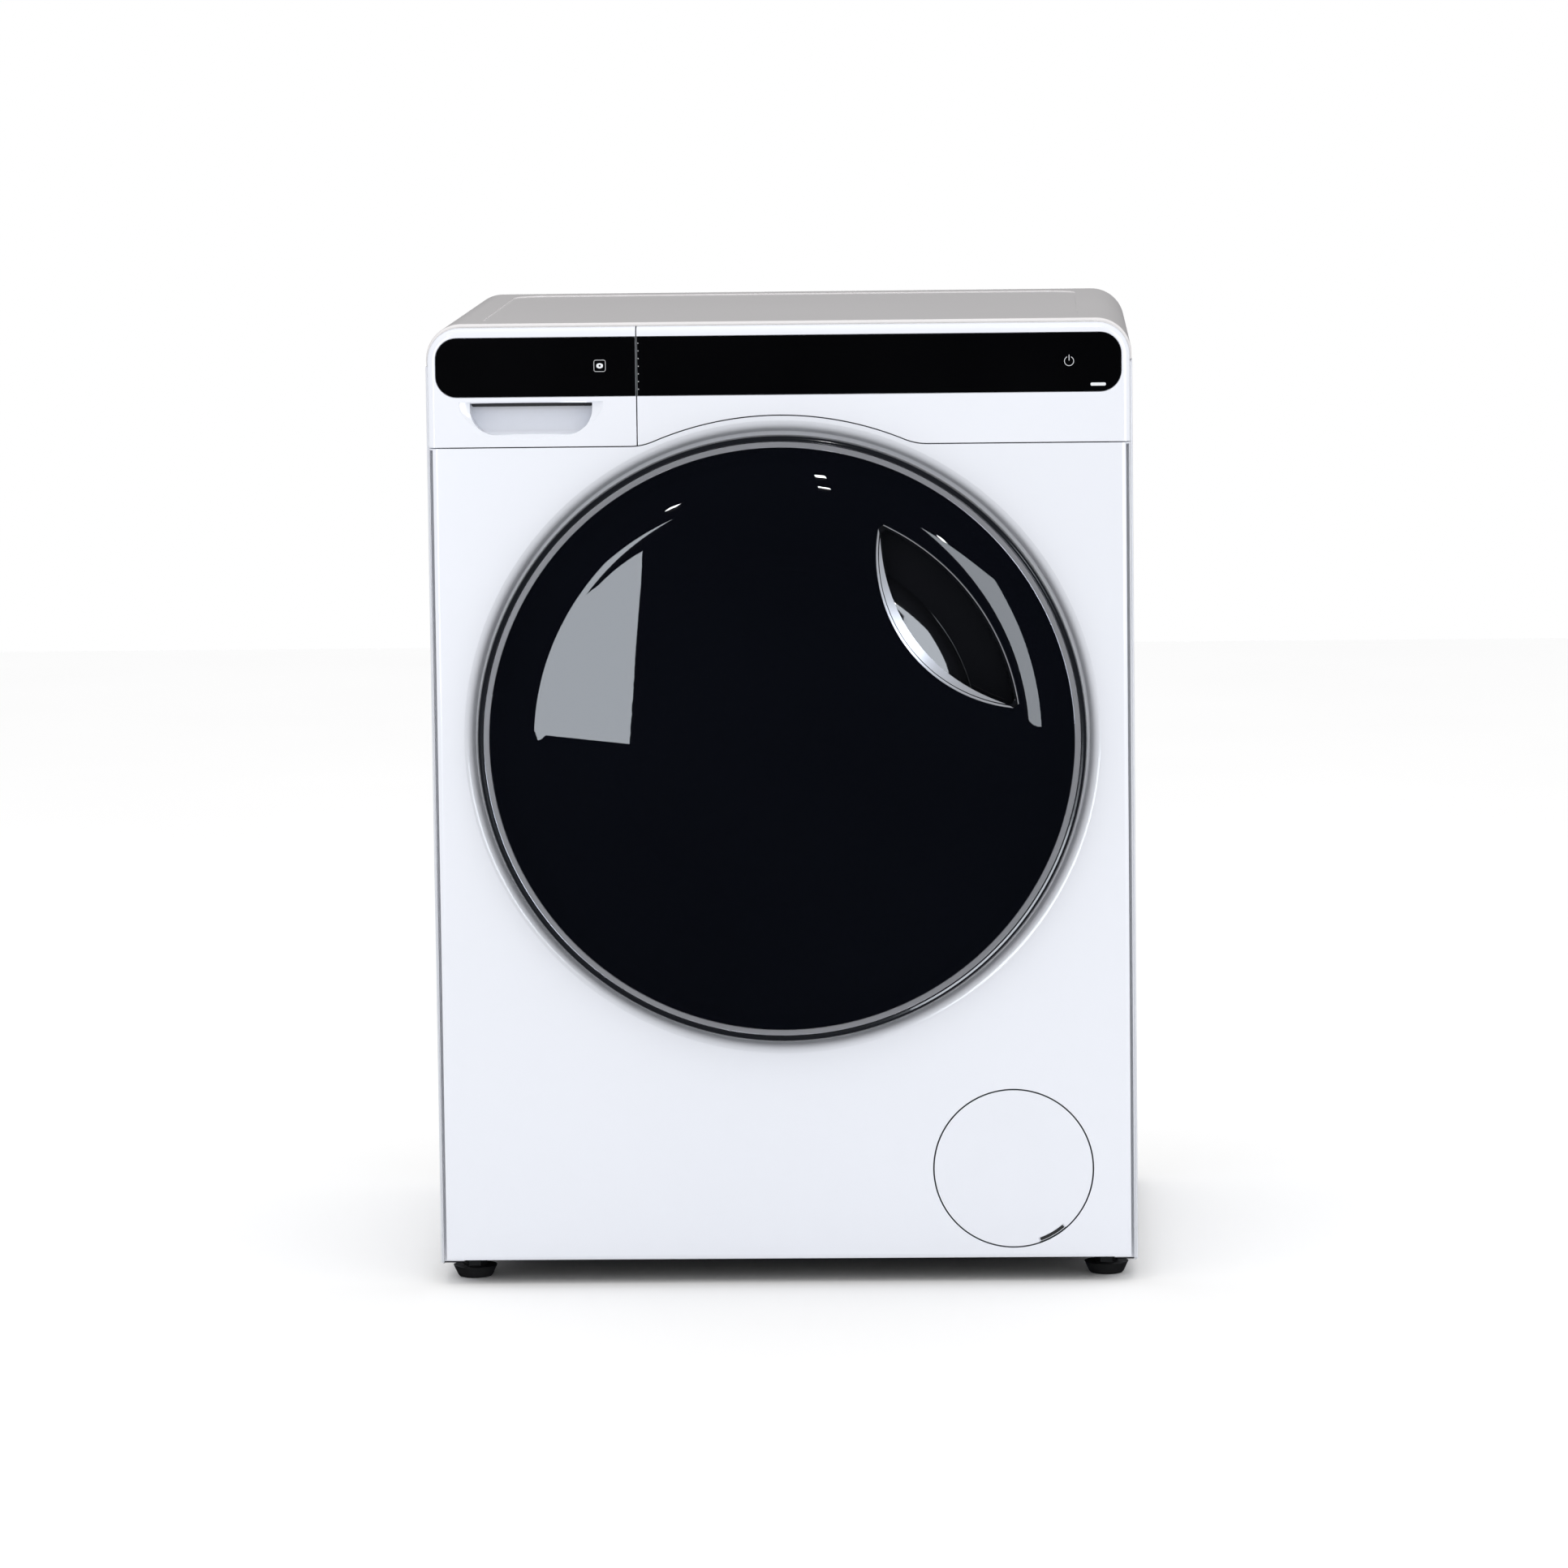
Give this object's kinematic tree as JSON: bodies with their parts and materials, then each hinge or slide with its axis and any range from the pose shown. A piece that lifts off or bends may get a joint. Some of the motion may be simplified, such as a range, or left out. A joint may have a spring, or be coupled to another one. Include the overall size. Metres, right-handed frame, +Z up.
{
  "type": "front load washing machine",
  "caption": "White front load washing machine with a round bulged dark door, a dark control band, a pull-out detergent drawer and a sprung tub with a turning drum.",
  "frame": {"origin": "on the floor, under the middle of the machine's bounding box", "axes": "+Z up, the front faces -Y, +X to the machine's right seen from the front"},
  "size_m": [0.6, 0.574, 0.825],
  "materials": {
    "cabinet_paint": "white enamel, slight sheen",
    "rear_steel": "galvanised and painted",
    "rear_plastic": "moulded grey",
    "front_paint": "white enamel, slight sheen",
    "worktop": "warm grey-white laminate",
    "base_plastic": "moulded black",
    "galvanised": "galvanised",
    "fascia_white": "gloss white",
    "window_black": "piano black",
    "board_green": "circuit board and grey case",
    "housing_plastic": "moulded",
    "valve_blue": "moulded blue",
    "hose_grey": "matte",
    "hose_black": "matte",
    "pump_plastic": "moulded",
    "switch_plastic": "moulded",
    "gasket_rubber": "soft grey",
    "lock_plastic": "moulded",
    "hinge_steel": "zinc plated",
    "plug_plastic": "moulded",
    "screw_steel": "zinc plated",
    "loom_sleeve": "taped sleeve",
    "damper_plastic": "moulded",
    "spring_steel": "oiled spring steel",
    "tub_plastic": "glass-filled plastic",
    "concrete": "cast concrete",
    "heater_steel": "stainless sheath",
    "bearing_steel": "ground",
    "motor_metal": "cast and laminated",
    "belt_rubber": "ribbed",
    "rod_steel": "ground",
    "drum_steel": "stainless, perforated",
    "lifter_plastic": "moulded",
    "spider_aluminium": "cast",
    "pulley_aluminium": "cast and turned",
    "rotor_steel": "turned",
    "ring_grey": "dark grey gloss",
    "ring_chrome": "bright chrome",
    "cover_black": "dark tinted gloss",
    "cup_black": "gloss black",
    "door_frame_plastic": "moulded",
    "bowl_glass": "clear glass",
    "hook_steel": "zinc plated",
    "tray_plastic": "moulded",
    "flap_white": "white",
    "filter_plastic": "moulded",
    "foot_rubber": "black"
  },
  "bodies": {
    "cabinet": {"side_panel_left": "cabinet_paint", "side_panel_right": "cabinet_paint", "rear_panel": "rear_steel", "rear_cover": "rear_plastic", "front_panel": "front_paint", "top_plate": "worktop", "base_tray": "base_plastic", "crossbars": "galvanised", "control_fascia": "fascia_white", "display_window": "window_black", "control_boards": "board_green", "dispenser_housing": "housing_plastic", "inlet_valve": "valve_blue", "inlet_hose": "hose_grey", "fill_hose": "hose_black", "drain_pump": "pump_plastic", "sump_hose": "hose_black", "drain_hose": "hose_grey", "pressure_switch": "switch_plastic", "door_gasket": "gasket_rubber", "door_lock": "lock_plastic", "hinge_bracket": "hinge_steel", "transit_plugs": "plug_plastic", "panel_screws": "screw_steel", "wiring_loom": "loom_sleeve", "damper_cylinders": "damper_plastic", "suspension_springs": "spring_steel"},
    "tub": {"tub_front": "tub_plastic", "tub_rear": "tub_plastic", "front_counterweight": "concrete", "top_counterweight": "concrete", "heater": "heater_steel", "main_bearings": "bearing_steel", "motor_body": "motor_metal", "drive_belt": "belt_rubber", "damper_rods": "rod_steel"},
    "drum": {"drum_shell": "drum_steel", "drum_back": "drum_steel", "drum_lifters": "lifter_plastic", "drum_spider": "spider_aluminium", "drum_pulley": "pulley_aluminium"},
    "motor_rotor": {"motor_pulley": "rotor_steel"},
    "door": {"door_outer_ring": "ring_grey", "door_chrome_ring": "ring_chrome", "door_cover": "cover_black", "door_handle_cup": "cup_black", "door_inner_frame": "door_frame_plastic", "door_bowl": "bowl_glass", "door_hinge_leaf": "hinge_steel"},
    "door_hook": {"door_hook": "hook_steel"},
    "drawer": {"drawer_front": "fascia_white", "drawer_inlay": "window_black", "drawer_tray": "tray_plastic"},
    "flap": {"filter_flap": "flap_white"},
    "filter": {"pump_filter": "filter_plastic"},
    "foot_front_left": {"foot_front_left": "foot_rubber"},
    "foot_front_right": {"foot_front_right": "foot_rubber"},
    "foot_rear_left": {"foot_rear_left": "foot_rubber"},
    "foot_rear_right": {"foot_rear_right": "foot_rubber"}
  },
  "joints": [
    {"name": "tub_float", "type": "slide", "parent": "cabinet", "child": "tub", "axis": [0, 0, 1], "range_m": [-0.008, 0.008], "stiffness_N_per_m": 16000, "springref_m": 0.02, "deforming": ["suspension_springs", "door_gasket", "sump_hose", "fill_hose"]},
    {"name": "drum_spin", "type": "hinge", "parent": "tub", "child": "drum", "pos_m": [0, 0.0125, 0.4703], "axis": [0, 1, 0], "continuous": true},
    {"name": "motor_spin", "type": "hinge", "parent": "tub", "child": "motor_rotor", "pos_m": [-0.075, 0.214, 0.1243], "axis": [0, 1, 0], "continuous": true},
    {"name": "door_swing", "type": "hinge", "parent": "cabinet", "child": "door", "pos_m": [-0.2475, -0.2545, 0.4703], "axis": [0, 0, -1], "range_deg": [0, 150]},
    {"name": "hook_spring", "type": "hinge", "parent": "door", "child": "door_hook", "pos_m": [0.217, -0.255, 0.4703], "axis": [0, 0, -1], "range_deg": [0, 10], "stiffness_Nm_per_rad": 0.4, "springref_deg": -5.73},
    {"name": "drawer_slide", "type": "slide", "parent": "cabinet", "child": "drawer", "axis": [0, -1, 0], "range_m": [0, 0.22]},
    {"name": "flap_pull", "type": "slide", "parent": "cabinet", "child": "flap", "axis": [0, -1, 0], "range_m": [0, 0.05]},
    {"name": "filter_turn", "type": "hinge", "parent": "cabinet", "child": "filter", "pos_m": [0.1938, -0.219, 0.098], "axis": [0, -1, 0], "range_deg": [0, 270]},
    {"name": "foot_front_left_screw", "type": "slide", "parent": "cabinet", "child": "foot_front_left", "axis": [0, 0, -1], "range_m": [0, 0.012]},
    {"name": "foot_front_right_screw", "type": "slide", "parent": "cabinet", "child": "foot_front_right", "axis": [0, 0, -1], "range_m": [0, 0.012]},
    {"name": "foot_rear_left_screw", "type": "slide", "parent": "cabinet", "child": "foot_rear_left", "axis": [0, 0, -1], "range_m": [0, 0.012]},
    {"name": "foot_rear_right_screw", "type": "slide", "parent": "cabinet", "child": "foot_rear_right", "axis": [0, 0, -1], "range_m": [0, 0.012]}
  ],
  "couplings": [
    {"joint": "motor_spin", "follows": "drum_spin", "ratio": 11.864}
  ]
}
